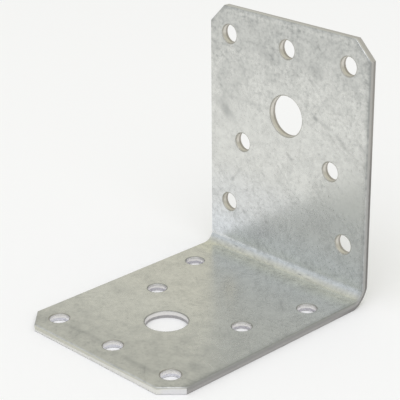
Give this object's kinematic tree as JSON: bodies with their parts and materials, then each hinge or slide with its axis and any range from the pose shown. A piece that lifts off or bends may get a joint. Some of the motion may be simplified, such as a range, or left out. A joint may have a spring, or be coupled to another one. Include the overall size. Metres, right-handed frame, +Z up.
{
  "type": "angle bracket",
  "caption": "Right-angle bracket folded from galvanised steel sheet, with punched nail holes and a larger bolt hole in each leg, for joining timber members.",
  "frame": {"origin": "centre of the footprint's box, on the surface that the base leg lies on", "axes": "+Z up along the upright leg, +Y out of the upright leg's outer face, +X across the width of the strip"},
  "size_m": [0.055, 0.07, 0.071],
  "materials": {
    "zinc_steel": "hot-dip galvanised, fine pale spangle with a soft sheen"
  },
  "bodies": {
    "root": {"bracket": "zinc_steel"}
  },
  "joints": []
}
